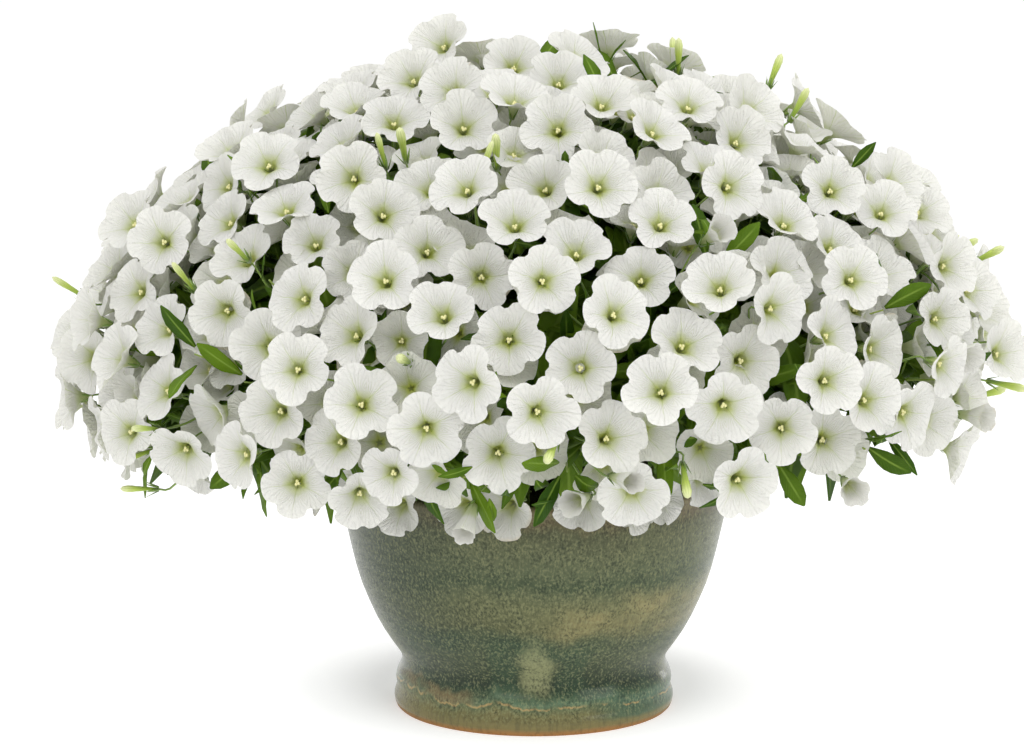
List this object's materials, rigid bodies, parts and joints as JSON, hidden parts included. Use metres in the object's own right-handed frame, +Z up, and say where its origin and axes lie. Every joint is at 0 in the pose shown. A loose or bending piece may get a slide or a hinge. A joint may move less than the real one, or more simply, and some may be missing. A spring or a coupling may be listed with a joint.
{
  "type": "potted petunia",
  "caption": "White trumpet-flowered petunia in a wide mound over a footed bowl pot of glazed stoneware, with potting soil, leafy shoots and slim buds.",
  "frame": {"origin": "on the pot's axis, on the surface that the foot ring stands on", "axes": "+Z up along the pot's axis; -Y towards the viewer of the picture, +X to the viewer's right"},
  "size_m": [0.7599, 0.7665, 0.5451],
  "materials": {
    "glaze": "gloss",
    "soil": "matte",
    "petals": "matte",
    "foliage": "satin"
  },
  "bodies": {
    "root": {"pot": "glaze", "soil": "soil", "spray_1": "petals", "spray_2": "petals", "spray_3": "petals", "spray_4": "petals", "spray_5": "petals", "spray_6": "petals", "spray_7": "petals", "spray_8": "petals", "spray_9": "petals", "spray_10": "petals", "spray_11": "petals", "spray_12": "petals", "spray_13": "petals", "spray_14": "petals", "spray_15": "petals", "spray_16": "petals", "spray_17": "petals", "spray_18": "petals", "spray_19": "petals", "spray_20": "petals", "spray_21": "petals", "spray_22": "petals", "spray_23": "petals", "spray_24": "petals", "spray_25": "petals", "spray_26": "petals", "spray_27": "petals", "spray_28": "petals", "spray_29": "petals", "spray_30": "petals", "spray_31": "petals", "spray_32": "petals", "spray_33": "petals", "spray_34": "petals", "spray_35": "petals", "spray_36": "petals", "spray_37": "petals", "spray_38": "petals", "spray_39": "petals", "spray_40": "petals", "spray_41": "petals", "spray_42": "petals", "shoot_1": "foliage", "shoot_2": "foliage", "shoot_3": "foliage", "shoot_4": "foliage", "shoot_5": "foliage", "shoot_6": "foliage", "shoot_7": "foliage", "shoot_8": "foliage", "shoot_9": "foliage", "shoot_10": "foliage", "shoot_11": "foliage", "shoot_12": "foliage"}
  },
  "joints": []
}
